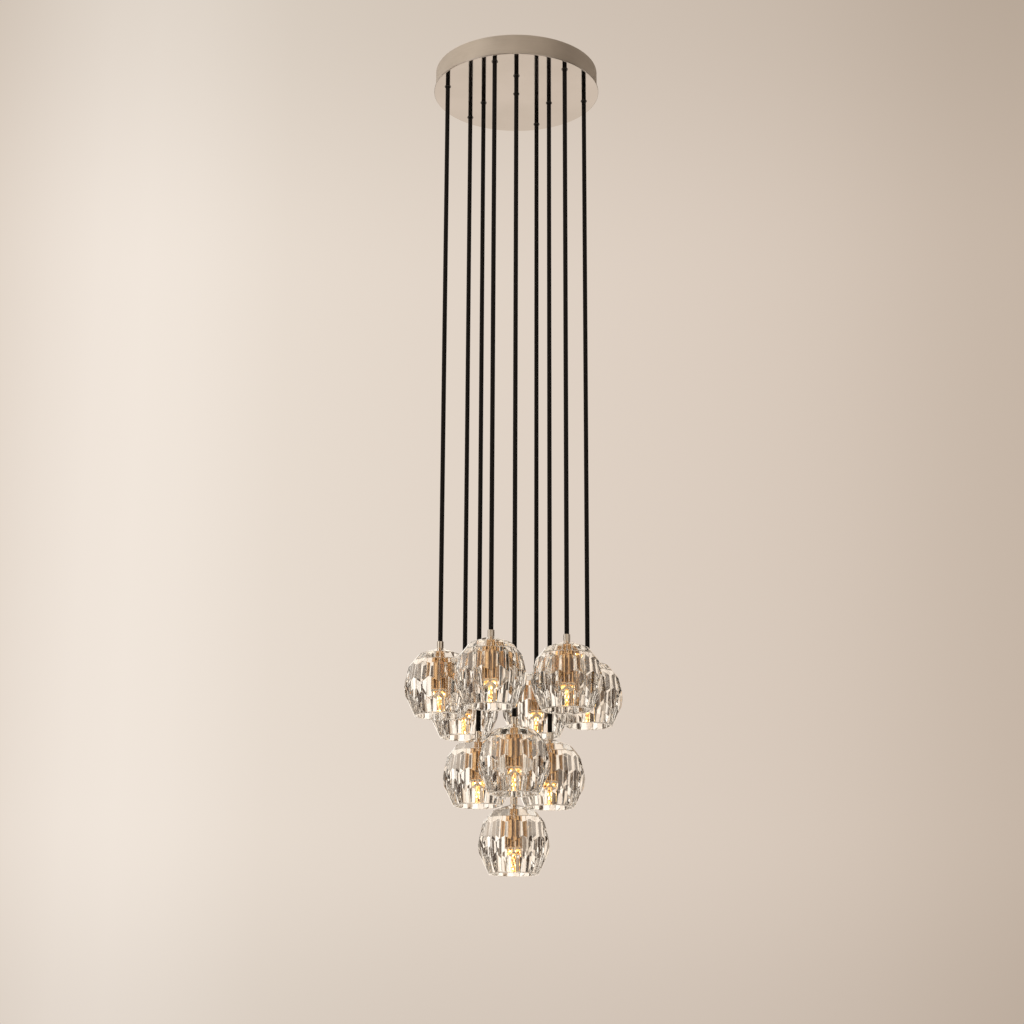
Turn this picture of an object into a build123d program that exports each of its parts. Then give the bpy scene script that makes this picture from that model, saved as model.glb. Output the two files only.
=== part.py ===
from build123d import *
import os
from math import cos, radians, sin, sqrt

# Cluster pendant: ten cut-crystal globes hang on cloth-covered cords, in three tiers, from one
# drum canopy. All sizes are millimetres. The origin is the centre of the canopy's ceiling face
# and +Z is up, so the whole lamp lies below z = 0.

# ---- Clearances -----------------------------------------------------------------------------
clear = 0.3  # between neighbours that must not rub
slip_fit = 0.1  # round a barrel or a screw in its hole
globe_gap = 0.5  # between the reaches of two globes that hang side by side
cord_gap = 0.6  # between an inner cord and the reach of an outer globe

# ---- Cut-crystal globe (its own frame: z = 0 at its top face, facets below) --------------------
facets_around = 12  # in each of the five rows, every row turned half a facet from the last
neck_flat = 9.0  # flat left on top for the cord grip
crown_radius = 36.0  # the rows meet at these radii and depths, on the facets' middles
crown_depth = 10.5
shoulder_radius = 52.0
shoulder_depth = 31.0
globe_radius = 59.2
waist_depth = 62.0
hip_radius = 55.0
hip_depth = 88.0
globe_height = 116.0
foot_rim = 3.5  # flat glass left round the mouth
bore_radius = 36.0  # inside, on the ridges between the flutes
flute_depth = 2.0
flutes = 24
crown_glass = 24.0  # solid glass between the top face and the bore's ceiling

# ---- Cord, cord grip, socket cup and lamp ------------------------------------------------------
cord_radius = 4.0
grip_radius = 6.0
grip_height = 13.0
cord_sides = 12
stem_radius = 4.9  # to the corners of the cup's hexagon neck, which passes up through the crystal
cup_radius = 15.5
cup_length = 45.0  # from its bearing face, against the bore's ceiling, to its rim
base_width = 16.0  # the lamp's ceramic base, a push fit in the cup
base_depth = 9.0
base_seated = 12.0  # how much of the base is inside the cup
base_showing = 2.0
pin_pitch = 9.0
pin_width = 2.4
pin_thickness = 0.8
pin_length = 7.0
lamp_radius = 7.5  # to the flats of the lamp's cover
lamp_sides = 12
lamp_length = 31.0
lamp_nose = 8.0
lamp_nose_radius = 4.0

# ---- Where the pendants hang -------------------------------------------------------------------
outer_count = 6
outer_turn = 12.4  # angle of the first outer cord, in degrees from +X
inner_count = 3
inner_turn = 30.0
outer_drop = 1218.0  # ceiling to the globes' mouths, for the shortest outer pendant
inner_step = 21.0  # added to a globe's height to reach the next tier
centre_step = 9.0
outer_slack = (7.0, 10.0, 17.0, 0.0, 0.0, 1.0)  # each hangs this much lower, as cut by hand
inner_slack = (9.0, 7.0, 0.0)
swing_gap = 0.95  # above a cord that swings, so its end clears the gland's floor

# ---- Canopy ------------------------------------------------------------------------------------
canopy_margin = 20.0  # from the outer ring of cords to the canopy's wall
canopy_height = 40.0
wall = 1.2
plate_lip = 3.0  # the face plate stands out past the wall
plate_thickness = 2.0
plate_chamfer = 0.6
gland_radius = 5.7  # to the corners of its barrel
gland_bore = 5.1  # to the corners
gland_sides = 12  # flats on the barrel and in its hole, which keep it from turning
gland_floor = 3.0  # depth of the bore, up from the gland's lower end
gland_proud = 1.0  # shows below the face plate
gland_head = 7.0  # across the flats of its hexagon, halved
gland_head_height = 6.0

# ---- Ceiling bar, side screws and terminal block -----------------------------------------------
bar_width = 20.0
bar_thickness = 1.5
ear_length = 18.0
ear_screw_drop = 10.0  # ceiling to the side screws
side_screw_radius = 2.0
side_screw_length = 7.0
slot_middle = 38.0  # from the centre to the middle of each ceiling-screw slot
slot_travel = 20.0
slot_width = 5.0
block_length = 34.0
block_width = 16.0
block_height = 14.0
block_middle = 80.0  # from the centre, along the bar
pole_count = 3
pole_gap = 2.0
pole_groove = 4.0

# ---- Worked out from the above -------------------------------------------------------------------
half_facet = 180 / facets_around
foot_radius = bore_radius + flute_depth + foot_rim
globe_reach = globe_radius / cos(radians(half_facet))  # no corner of a facet lies past this
inner_ring = (globe_reach + globe_gap / 2) / sin(radians(180 / inner_count))
between_rings = radians(inner_turn - outer_turn)
cord_to_globe = globe_reach + cord_gap + cord_radius
outer_ring = inner_ring * cos(between_rings) + sqrt(
    cord_to_globe**2 - (inner_ring * sin(between_rings)) ** 2
)
inner_drop = outer_drop + globe_height + inner_step
centre_drop = inner_drop + globe_height + centre_step
canopy_radius = outer_ring + canopy_margin
gland_bottom = -canopy_height - gland_proud
cup_bottom = -crown_glass - cup_length
socket_depth = base_seated + pin_length + clear


def on_ring(radius, turn):
    """The place of a cord, seen from above."""
    return (radius * cos(radians(turn)), radius * sin(radians(turn)))


hangers = []  # place, drop to the globe's mouth, whether the cord can swing
for number in range(outer_count):
    place = on_ring(outer_ring, outer_turn + number * 360 / outer_count)
    hangers.append((place, outer_drop + outer_slack[number % len(outer_slack)], True))
for number in range(inner_count):
    place = on_ring(inner_ring, inner_turn + number * 360 / inner_count)
    hangers.append((place, inner_drop + inner_slack[number % len(inner_slack)], False))
hangers.append(((0.0, 0.0), centre_drop, False))
exits = [place for place, drop, swings in hangers]

os.makedirs("parts", exist_ok=True)


def save(piece, label):
    """Label a finished piece and write its file."""
    piece.label = label
    export_step(piece, f"parts/{label}.step")


# ---- Canopy wall: a rolled drum, open to the ceiling ----------------------------------------------
with BuildPart() as canopy_wall:
    with BuildSketch(Plane.XY):
        Circle(canopy_radius)
        Circle(canopy_radius - wall, mode=Mode.SUBTRACT)
    extrude(amount=-(canopy_height - plate_thickness))
    with BuildSketch(Plane.YZ):
        with Locations((0, -ear_screw_drop)):
            Circle(side_screw_radius + slip_fit)
    extrude(amount=2 * canopy_radius, both=True, mode=Mode.SUBTRACT)
save(canopy_wall.part, "canopy_wall")

# ---- Face plate: a polished disc that closes the drum and carries the cord glands ------------------
with BuildPart() as face_plate:
    with BuildSketch(Plane.XY.offset(-canopy_height)):
        Circle(canopy_radius + plate_lip)
        with Locations(*exits):
            RegularPolygon(gland_radius + slip_fit, gland_sides, mode=Mode.SUBTRACT)
    extrude(amount=plate_thickness)
    rims = face_plate.edges().filter_by(GeomType.CIRCLE).sort_by(SortBy.RADIUS)[-2:]
    chamfer(rims.sort_by(Axis.Z)[0], length=plate_chamfer)
save(face_plate.part, "face_plate")

# ---- Cord glands: a hexagon head on the plate, a barrel through it and a bore for the cord ---------
with BuildPart() as cord_glands:
    with BuildSketch(Plane.XY.offset(gland_bottom)):
        with Locations(*exits):
            RegularPolygon(gland_radius, gland_sides)
    extrude(amount=gland_proud + plate_thickness)
    with BuildSketch(Plane.XY.offset(-canopy_height + plate_thickness)):
        with Locations(*exits):
            RegularPolygon(gland_head, 6, major_radius=False)
    extrude(amount=gland_head_height)
    with BuildSketch(Plane.XY.offset(gland_bottom)):
        with Locations(*exits):
            RegularPolygon(gland_bore, gland_sides)
    extrude(amount=gland_floor, mode=Mode.SUBTRACT)
save(cord_glands.part, "cord_glands")

# ---- Ceiling bar: a strip with turned-down ears and a slot each side for the ceiling box's screws --
bar_reach = sqrt((canopy_radius - wall) ** 2 - (bar_width / 2) ** 2) - clear
with BuildPart() as ceiling_bar:
    with BuildSketch(Plane.XZ):
        with BuildLine():
            Polyline(
                (-bar_reach, -ear_length),
                (-bar_reach, 0),
                (bar_reach, 0),
                (bar_reach, -ear_length),
            )
            offset(amount=bar_thickness, side=Side.RIGHT)
        make_face()
    extrude(amount=bar_width / 2, both=True)
    with BuildSketch(Plane.XY):
        with Locations((-slot_middle, 0), (slot_middle, 0)):
            SlotCenterToCenter(slot_travel, slot_width)
    extrude(amount=-2 * bar_thickness, mode=Mode.SUBTRACT)
    with BuildSketch(Plane.YZ):
        with Locations((0, -ear_screw_drop)):
            Circle(side_screw_radius + slip_fit)
    extrude(amount=2 * canopy_radius, both=True, mode=Mode.SUBTRACT)
save(ceiling_bar.part, "ceiling_bar")

# ---- Side screws: two headless screws, flush with the wall, that hang the drum on the ears ---------
with BuildPart() as side_screws:
    with BuildSketch(Plane.YZ.offset(canopy_radius - side_screw_length)):
        with Locations((0, -ear_screw_drop)):
            Circle(side_screw_radius)
    extrude(amount=side_screw_length - clear)
    mirror(about=Plane.YZ)
save(side_screws.part, "side_screws")

# ---- Terminal block: three poles in one moulding, under the bar -------------------------------------
with BuildPart() as terminal_block:
    with BuildSketch(Plane.XY.offset(-bar_thickness)):
        with Locations((-block_middle, 0)):
            Rectangle(block_length, block_width)
    extrude(amount=-block_height)
    with BuildSketch(Plane.XY.offset(-bar_thickness - block_height)):
        with Locations((-block_middle, 0)):
            with GridLocations(block_length / pole_count, 1, pole_count - 1, 1):
                Rectangle(pole_gap, block_width)
    extrude(amount=pole_groove, mode=Mode.SUBTRACT)
save(terminal_block.part, "terminal_block")


def facet_plane(turn, upper, lower):
    """The plane of one facet, through the profile points where its row starts and ends."""
    run = lower[0] - upper[0]
    fall = lower[1] - upper[1]
    along = (cos(radians(turn)), sin(radians(turn)))
    origin = (upper[0] * along[0], upper[0] * along[1], -upper[1])
    return Plane(origin=origin, z_dir=(fall * along[0], fall * along[1], run))


# ---- Crystal globe: five interlocking rows of flat facets, a fluted bore and a hole for the stem ----
facet_rows = (
    (neck_flat, 0.0),
    (crown_radius, crown_depth),
    (shoulder_radius, shoulder_depth),
    (globe_radius, waist_depth),
    (hip_radius, hip_depth),
    (foot_radius, globe_height),
)
with BuildPart() as globe:
    Box(
        3 * globe_radius,
        3 * globe_radius,
        globe_height,
        align=(Align.CENTER, Align.CENTER, Align.MAX),
    )
    for row, (upper, lower) in enumerate(zip(facet_rows, facet_rows[1:])):
        for facet in range(facets_around):
            turn = (2 * facet + row % 2) * half_facet
            split(bisect_by=facet_plane(turn, upper, lower), keep=Keep.BOTTOM)
    with BuildSketch(Plane.XY.offset(-globe_height)):
        with BuildLine():
            Polyline(
                *[
                    on_ring(bore_radius + (k % 2) * flute_depth, k * 180 / flutes)
                    for k in range(2 * flutes)
                ],
                close=True,
            )
        make_face()
    extrude(amount=globe_height - crown_glass, mode=Mode.SUBTRACT)
    Hole(stem_radius + clear)

# ---- Cord grip: the plated ferrule that clamps the cord on top of the crystal ----------------------
with BuildPart() as cord_grip:
    with BuildSketch(Plane.XY):
        Circle(grip_radius)
    extrude(amount=grip_height)

# ---- Socket cup: a hexagon neck through the crystal, a drum below it, with the lamp's socket -------
with BuildPart() as socket_cup:
    with BuildSketch(Plane.XY):
        RegularPolygon(stem_radius, 6)
    extrude(amount=-crown_glass)
    with BuildSketch(Plane.XY.offset(-crown_glass)):
        Circle(cup_radius)
    extrude(amount=-cup_length)
    with BuildSketch(Plane.XY.offset(cup_bottom)):
        Rectangle(base_width + 2 * clear, base_depth + 2 * clear)
    extrude(amount=socket_depth, mode=Mode.SUBTRACT)

# ---- Lamp: ceramic base, two blade pins and a long clear cover with flats --------------------------
with BuildPart() as lamp:
    with BuildSketch(Plane.XY.offset(cup_bottom + base_seated)):
        Rectangle(base_width, base_depth)
    extrude(amount=-base_seated - base_showing)
    with BuildSketch(Plane.XY.offset(cup_bottom + base_seated)):
        with GridLocations(pin_pitch, 1, 2, 1):
            Rectangle(pin_width, pin_thickness)
    extrude(amount=pin_length)
    with BuildSketch(Plane.XY.offset(cup_bottom - base_showing)):
        RegularPolygon(lamp_radius, lamp_sides, major_radius=False)
    extrude(amount=-lamp_length)
    with BuildSketch(Plane.XY.offset(cup_bottom - base_showing - lamp_length)):
        RegularPolygon(lamp_radius, lamp_sides, major_radius=False)
    with BuildSketch(Plane.XY.offset(cup_bottom - base_showing - lamp_length - lamp_nose)):
        RegularPolygon(lamp_nose_radius, lamp_sides, major_radius=False)
    loft()

# ---- The ten pendants ----------------------------------------------------------------------------------
for number, (place, drop, swings) in enumerate(hangers, start=1):
    globe_top = globe_height - drop
    cord_top = gland_bottom + gland_floor - (swing_gap if swings else 0)
    with BuildPart() as cord:
        with BuildSketch(Plane(origin=(*place, globe_top + grip_height))):
            RegularPolygon(cord_radius, cord_sides)
        extrude(amount=cord_top - globe_top - grip_height)
    save(cord.part, f"cord_{number:02d}")
    repeated = {"globe": globe, "cord_grip": cord_grip, "socket_cup": socket_cup, "lamp": lamp}
    for name, pattern in repeated.items():
        with BuildPart() as piece:
            with Locations((*place, globe_top)):
                add(pattern.part)
        save(piece.part, f"{name}_{number:02d}")

print("outer ring", round(outer_ring, 2), "inner ring", round(inner_ring, 2))
print("canopy radius", round(canopy_radius, 2), "globe reach", round(globe_reach, 2))
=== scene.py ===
"""Dresses the cluster pendant: canopy, cloth cords, cut-crystal globes, cups and lamps."""
import logging
from collections.abc import Callable, Iterable, Sequence
from dataclasses import dataclass, field
from enum import Enum
from math import atan2, cos, hypot, pi, radians, sin

import bmesh
import bpy
from mathutils import Matrix, Vector


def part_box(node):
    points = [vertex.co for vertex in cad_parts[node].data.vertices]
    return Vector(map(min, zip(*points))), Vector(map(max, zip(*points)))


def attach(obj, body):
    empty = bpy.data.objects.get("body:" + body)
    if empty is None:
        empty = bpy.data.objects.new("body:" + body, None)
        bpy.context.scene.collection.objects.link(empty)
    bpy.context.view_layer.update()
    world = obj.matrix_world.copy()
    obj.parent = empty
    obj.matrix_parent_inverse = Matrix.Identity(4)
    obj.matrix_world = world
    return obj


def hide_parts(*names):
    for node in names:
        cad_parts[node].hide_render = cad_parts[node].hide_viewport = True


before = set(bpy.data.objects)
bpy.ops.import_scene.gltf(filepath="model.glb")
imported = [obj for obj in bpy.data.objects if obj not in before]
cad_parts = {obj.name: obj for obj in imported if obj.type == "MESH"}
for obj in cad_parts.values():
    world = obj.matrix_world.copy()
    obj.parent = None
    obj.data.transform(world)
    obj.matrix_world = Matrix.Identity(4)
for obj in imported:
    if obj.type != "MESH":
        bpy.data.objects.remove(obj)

log = logging.getLogger("cluster_pendant")
Pair = tuple[float, float]
Point = tuple[float, float, float]
Colour = tuple[float, float, float, float]
Stops = tuple[tuple[float, Colour], ...]
Socket = bpy.types.NodeSocket
Material = bpy.types.Material
Mesh = bpy.types.Mesh
Shell = bmesh.types.BMesh
Edge = bmesh.types.BMEdge
Corner = bmesh.types.BMVert

WELD, NEAR = 0.000001, 0.0001
"""How close corners are to be one, and to lie on the same rim, in metres."""


class Slot(Enum):
    """Material slots of the record."""

    WALL = "brushed_nickel"
    POLISHED = "polished_nickel"
    NYLON = "black_nylon"
    STEEL = "zinc_steel"
    MOULDING = "white_moulding"
    CLOTH = "black_cloth"
    CRYSTAL = "crystal"
    CHAMPAGNE = "champagne_metal"
    LAMP = "lamp_glass"


class Shading(Enum):
    """How a finished mesh is shaded: the angle in degrees from which an edge stays sharp."""

    FLAT = 0.0
    CRISP = 28.0


def rgb(red: int, green: int, blue: int) -> Colour:
    """Make a colour linear.

    Args:
        red: how red it is as written for screens, from 0 to 255.
        green: how green it is.
        blue: how blue it is.

    Returns:
        The linear colour.
    """

    def linear(level: int) -> float:
        """One channel, made linear."""
        share = level / 255
        return share / 12.92 if share <= 0.04045 else ((share + 0.055) / 1.055) ** 2.4

    return (linear(red), linear(green), linear(blue), 1.0)


def tones(*stops: tuple[float, int, int, int]) -> Stops:
    """A ramp's stops, each from its place and its colour as written for screens."""
    return tuple((place, rgb(*levels)) for place, *levels in stops)


def linked(name: str, data: bpy.types.ID) -> bpy.types.Object:
    """Put a new object in the scene.

    Args:
        name: the object's name.
        data: its light, camera, curve or mesh.

    Returns:
        The object.
    """
    made = bpy.data.objects.new(name, data)
    bpy.context.scene.collection.objects.link(made)
    return made


# ---- Finishes ----


class Recipe:
    """A material's nodes, added and joined in few words."""

    def __init__(self, tree: bpy.types.NodeTree) -> None:
        """Start from an empty tree."""
        self.tree = tree
        tree.nodes.clear()

    @classmethod
    def material(cls, name: str) -> "Recipe":
        """Start a recipe for a new material.

        Args:
            name: the material's name.

        Returns:
            The recipe.
        """
        made = bpy.data.materials.new(name)
        made.use_nodes = True
        recipe = cls(made.node_tree)
        recipe.made = made
        return recipe

    def add(self, kind: str, **inputs: object) -> bpy.types.Node:
        """Add a node.

        Args:
            kind: the node's type, without its ShaderNode prefix.
            inputs: its properties first, then its sockets, with underscores for spaces. A
                socket as the value is joined, anything else is set.

        Returns:
            The node.
        """
        node = self.tree.nodes.new("ShaderNode" + kind)
        for name, value in inputs.items():
            if name.islower() and hasattr(node, name):
                setattr(node, name, value)
                continue
            key = int(name[1:]) if name[0] == "_" else name.replace("_", " ")
            if isinstance(value, Socket):
                self.tree.links.new(value, node.inputs[key])
            else:
                node.inputs[key].default_value = value
        return node

    def out(self, kind: str, **inputs: object) -> Socket:
        """Add a node and return its first output."""
        return self.add(kind, **inputs).outputs[0]

    def sum(self, operation: str, first: object, second: object = 0.0) -> Socket:
        """The output of a Math node on one or two values or sockets."""
        return self.out("Math", operation=operation, _0=first, _1=second)

    def blend(self, first: Socket, second: Socket, share: float) -> Socket:
        """Two values mixed, with the second's share."""
        return self.out("Mix", data_type="FLOAT", Factor=share, A=first, B=second)

    def ramp(self, share: Socket, stops: Stops, easing: str = "LINEAR") -> Socket:
        """A colour ramp's output.

        Args:
            share: the value from 0 to 1 that picks the colour.
            stops: the places and colours, in order.
            easing: how the colours run into each other.

        Returns:
            The ramp's colour.
        """
        node = self.add("ValToRGB", Fac=share)
        node.color_ramp.interpolation = easing
        elements = node.color_ramp.elements
        while len(elements) < len(stops):
            elements.new(0.5)
        for element, stop in zip(elements, stops):
            element.position, element.color = stop
        return node.outputs["Color"]

    def place(self) -> Socket:
        """The piece's own coordinates."""
        return self.add("TexCoord").outputs["Object"]

    def noise(self, repeats: float | Point, detail: float = 2.0) -> Socket:
        """Make noise on the piece's own coordinates.

        Args:
            repeats: how often it repeats in a metre, on all axes or on each.
            detail: how many finer layers lie on it.

        Returns:
            The noise.
        """
        stretch = repeats if isinstance(repeats, tuple) else (repeats, repeats, repeats)
        mapped = self.out("Mapping", Vector=self.place(), Scale=stretch)
        return self.add("TexNoise", Vector=mapped, Scale=1.0, Detail=detail).outputs["Fac"]

    def spread(self, share: Socket, low: float, high: float) -> Socket:
        """A share from 0 to 1 laid out between low and high."""
        return self.out("MapRange", Value=share, To_Min=low, To_Max=high)

    def bump(self, height: Socket, depth: float, strength: float = 1.0) -> Socket:
        """A bumped normal, with its depth in metres."""
        return self.out("Bump", Height=height, Distance=depth, Strength=strength)

    def bent_rays(self) -> Socket:
        """One for a ray that is on its way from a mirror or through glass, else nought."""
        rays = self.add("LightPath").outputs
        return self.sum("MAXIMUM", rays["Is Glossy Ray"], rays["Is Transmission Ray"])

    def finish(self, shader: Socket) -> Material:
        """Join the shader to the output and return the material."""
        self.add("OutputMaterial", Surface=shader)
        return self.made

    def surface(self, **inputs: object) -> Material:
        """The finished material of one principled surface, by its inputs."""
        return self.finish(self.out("BsdfPrincipled", **inputs))


@dataclass(frozen=True)
class BrushedNickel:
    """Satin nickel with its grain running round the drum."""

    light: Colour = rgb(190, 180, 168)
    dark: Colour = rgb(168, 157, 145)
    rough: Pair = (0.44, 0.58)
    grain: Point = (14, 14, 2600)
    grain_depth: float = 0.00004
    cloud: Point = (18, 18, 30)
    cloud_share: float = 0.4

    def make(self) -> Material:
        """Mix the finish.

        Returns:
            The material.
        """
        recipe = Recipe.material("brushed nickel")
        grain = recipe.noise(self.grain, 3)
        cloud = recipe.noise(self.cloud, 2)
        tone = recipe.blend(grain, cloud, self.cloud_share)
        return recipe.surface(
            Base_Color=recipe.ramp(tone, ((0.3, self.dark), (0.7, self.light))),
            Metallic=0.5,
            Roughness=recipe.spread(grain, *self.rough),
            Anisotropic=0.4,
            Normal=recipe.bump(grain, self.grain_depth, 0.5),
        )


@dataclass(frozen=True)
class PolishedNickel:
    """Mirror-polished nickel with a faint wipe haze, satin beyond a rim's radius if it has one."""

    name: str = "polished nickel"
    light: Colour = rgb(192, 186, 182)
    dark: Colour = rgb(185, 179, 174)
    rough: Pair = (0.03, 0.07)
    haze: float = 9.0
    rim: float = 0.0
    rim_rough: float = 0.38
    scratch: Point = (900, 60, 900)
    scratch_depth: float = 0.000001

    def make(self) -> Material:
        """Mix the finish.

        Returns:
            The material.
        """
        recipe = Recipe.material(self.name)
        cloud = recipe.noise(self.haze, 4)
        scratch = recipe.noise(self.scratch, 2)
        rough = recipe.spread(cloud, *self.rough)
        if self.rim:
            flat = recipe.out(
                "VectorMath", operation="MULTIPLY", _0=recipe.place(), _1=(1.0, 1.0, 0.0)
            )
            out = recipe.add("VectorMath", operation="LENGTH", _0=flat).outputs["Value"]
            beyond = recipe.sum("GREATER_THAN", out, self.rim)
            rough = recipe.sum("MAXIMUM", rough, recipe.sum("MULTIPLY", beyond, self.rim_rough))
        return recipe.surface(
            Base_Color=recipe.ramp(cloud, ((0.35, self.dark), (0.65, self.light))),
            Metallic=1.0,
            Roughness=rough,
            Normal=recipe.bump(scratch, self.scratch_depth, 0.2),
        )


@dataclass(frozen=True)
class ZincSteel:
    """Zinc-plated steel with a faint spangle."""

    light: Colour = rgb(190, 192, 194)
    dark: Colour = rgb(150, 153, 158)
    rough: Pair = (0.28, 0.45)
    spangle: float = 220.0
    skin_depth: float = 0.00002

    def make(self) -> Material:
        """Mix the finish.

        Returns:
            The material.
        """
        recipe = Recipe.material("zinc steel")
        voronoi = recipe.add("TexVoronoi", Vector=recipe.place(), Scale=self.spangle)
        spangle = voronoi.outputs["Color"]
        cloud = recipe.noise(90, 3)
        tone = recipe.blend(spangle, cloud, 0.5)
        return recipe.surface(
            Base_Color=recipe.ramp(tone, ((0.25, self.dark), (0.75, self.light))),
            Metallic=1.0,
            Roughness=recipe.spread(tone, *self.rough),
            Normal=recipe.bump(cloud, self.skin_depth, 0.5),
        )


@dataclass(frozen=True)
class Skin:
    """A plain finish whose grain gives both its roughness and its bump: moulded by default."""

    name: str
    light: Colour
    dark: Colour
    rough: Pair
    cloud: float = 70.0
    grain: float | Point = 1800.0
    depth: float = 0.00003
    strength: float = 0.6
    metal: float = 0.0

    def make(self) -> Material:
        """Mix the finish.

        Returns:
            The material.
        """
        recipe = Recipe.material(self.name)
        grain = recipe.noise(self.grain)
        cloud = recipe.noise(self.cloud, 3)
        return recipe.surface(
            Base_Color=recipe.ramp(cloud, ((0.3, self.dark), (0.7, self.light))),
            Metallic=self.metal,
            Roughness=recipe.spread(grain, *self.rough),
            Normal=recipe.bump(grain, self.depth, self.strength),
        )


@dataclass(frozen=True)
class BraidedCloth:
    """Black braided cloth: two sets of flat yarns that cross round the cord."""

    light: Colour = rgb(17, 14, 12)
    dark: Colour = rgb(4, 3, 2)
    rough: Pair = (0.75, 0.95)
    along: float = 330.0
    around: float = 8.0
    depth: float = 0.0004
    fuzz: Point = (2400, 2400, 900)
    fuzz_tone: Pair = (0.6, 1.1)

    def make(self) -> Material:
        """Mix the finish.

        Returns:
            The material.
        """
        recipe = Recipe.material("black cloth")
        place = recipe.add("SeparateXYZ", Vector=recipe.add("TexCoord").outputs["UV"]).outputs
        run = recipe.sum("MULTIPLY", place["X"], self.along * pi)
        turn = recipe.sum("MULTIPLY", place["Y"], self.around * pi)
        yarns = (
            recipe.sum("ABSOLUTE", recipe.sum("SINE", recipe.sum(way, run, turn)))
            for way in ("ADD", "SUBTRACT")
        )
        weave = recipe.sum("MAXIMUM", *yarns)
        fuzz = recipe.noise(self.fuzz, 3)
        tone = recipe.sum("MULTIPLY", weave, recipe.spread(fuzz, *self.fuzz_tone))
        return recipe.surface(
            Base_Color=recipe.ramp(tone, ((0.35, self.dark), (0.95, self.light))),
            Roughness=recipe.spread(fuzz, *self.rough),
            Specular_IOR_Level=0.22,
            Sheen_Weight=0.04,
            Sheen_Roughness=0.5,
            Normal=recipe.bump(weave, self.depth, 0.8),
        )


@dataclass(frozen=True)
class CutGlass:
    """Clear glass, polished after cutting, that lets the lamps' light in."""

    name: str = "cut crystal"
    tint: Colour = (0.995, 0.987, 0.974, 1.0)
    index: float = 1.53
    rough: Pair = (0.0, 0.02)
    ripple: float = 0.00006
    shadow: Colour = (0.9, 0.9, 0.89, 1.0)

    def make(self) -> Material:
        """Mix the finish.

        Returns:
            The material.
        """
        recipe = Recipe.material(self.name)
        wave = recipe.noise(45, 1)
        speck = recipe.noise(260, 3)
        glass = recipe.out(
            "BsdfPrincipled",
            Base_Color=self.tint,
            Roughness=recipe.spread(speck, *self.rough),
            IOR=self.index,
            Transmission_Weight=1.0,
            Normal=recipe.bump(wave, self.ripple),
        )
        clear = recipe.out("BsdfTransparent", Color=self.shadow)
        ray = recipe.add("LightPath").outputs["Is Shadow Ray"]
        return recipe.finish(recipe.out("MixShader", _0=ray, _1=glass, _2=clear))


@dataclass(frozen=True)
class Glow:
    """Warm light from the lamp's chips or its amber column."""

    name: str
    hot: Colour
    warm: Colour
    deep: Colour
    power: float
    patch: float = 420.0

    def make(self) -> Material:
        """Mix the finish.

        Returns:
            The material.
        """
        recipe = Recipe.material(self.name)
        cloud = recipe.noise(self.patch)
        colour = recipe.ramp(cloud, ((0.38, self.deep), (0.47, self.warm), (0.6, self.hot)))
        return recipe.surface(
            Base_Color=colour, Roughness=0.35, Emission_Color=colour, Emission_Strength=self.power
        )


def once(make: Callable[[], Material]) -> Material:
    """A field of Finishes, whose material is made together with the set."""
    return field(default_factory=make)


@dataclass
class Finishes:
    """Every finish of the lamp, each made once. The mirror's rim starts 0.6 mm inside its edge."""

    wall: Material = once(BrushedNickel().make)
    mirror: Material = once(PolishedNickel(rim=0.1524).make)
    ferrule: Material = once(
        PolishedNickel(
            name="polished ferrule", light=rgb(240, 233, 224), dark=rgb(226, 218, 208),
            rough=(0.04, 0.1), haze=150.0,
        ).make
    )
    champagne: Material = once(
        Skin(
            "champagne plate", rgb(230, 194, 148), rgb(200, 158, 110), (0.04, 0.1),
            cloud=60.0, grain=(30, 30, 3200), depth=0.00001, strength=0.3, metal=1.0,
        ).make
    )
    steel: Material = once(ZincSteel().make)
    nylon: Material = once(
        Skin("black nylon", rgb(34, 33, 32), rgb(20, 20, 20), (0.4, 0.6)).make
    )
    moulding: Material = once(
        Skin("white moulding", rgb(236, 232, 222), rgb(224, 219, 208), (0.3, 0.45)).make
    )
    cloth: Material = once(BraidedCloth().make)
    crystal: Material = once(CutGlass().make)
    bulb: Material = once(
        CutGlass(
            name="lamp cover", tint=(1.0, 0.94, 0.8, 1.0), index=1.45, rough=(0.0, 0.03),
            ripple=0.00002,
        ).make
    )
    chip: Material = once(
        Glow("lit chip", rgb(255, 250, 236), rgb(255, 222, 152), rgb(244, 176, 88), 5.0).make
    )
    column: Material = once(
        Glow(
            "amber column", rgb(255, 222, 148), rgb(226, 150, 58), rgb(88, 45, 14),
            power=1.6, patch=210.0,
        ).make
    )


# ---- Shaping ----


def turned(profile: Sequence[Pair], steps: int = 96) -> Shell:
    """Turn a profile round the Z axis, as on a lathe.

    Args:
        profile: radius and height of each corner, in order; it closes where its ends meet or
            where they lie on the axis.
        steps: how many facets go round.

    Returns:
        The closed shell.
    """
    shell = bmesh.new()
    corners = [shell.verts.new((radius, 0.0, height)) for radius, height in profile]
    edges = [shell.edges.new(pair) for pair in zip(corners, corners[1:])]
    bmesh.ops.spin(
        shell, geom=[*corners, *edges], cent=(0, 0, 0), axis=(0, 0, 1), dvec=(0, 0, 0),
        angle=2 * pi, steps=steps, use_merge=True, use_normal_flip=False, use_duplicate=False,
    )
    welded(shell)
    bmesh.ops.dissolve_degenerate(shell, dist=WELD, edges=shell.edges[:])
    bmesh.ops.delete(shell, geom=[e for e in shell.edges if e.is_wire], context="EDGES")
    return outward(shell)


def welded(shell: Shell, near: float = WELD) -> Shell:
    """Join the corners that lie that near each other and return the shell."""
    bmesh.ops.remove_doubles(shell, verts=shell.verts[:], dist=near)
    return shell


def outward(shell: Shell) -> Shell:
    """Turn every face outward and return the shell."""
    bmesh.ops.recalc_face_normals(shell, faces=shell.faces[:])
    return shell


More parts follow.
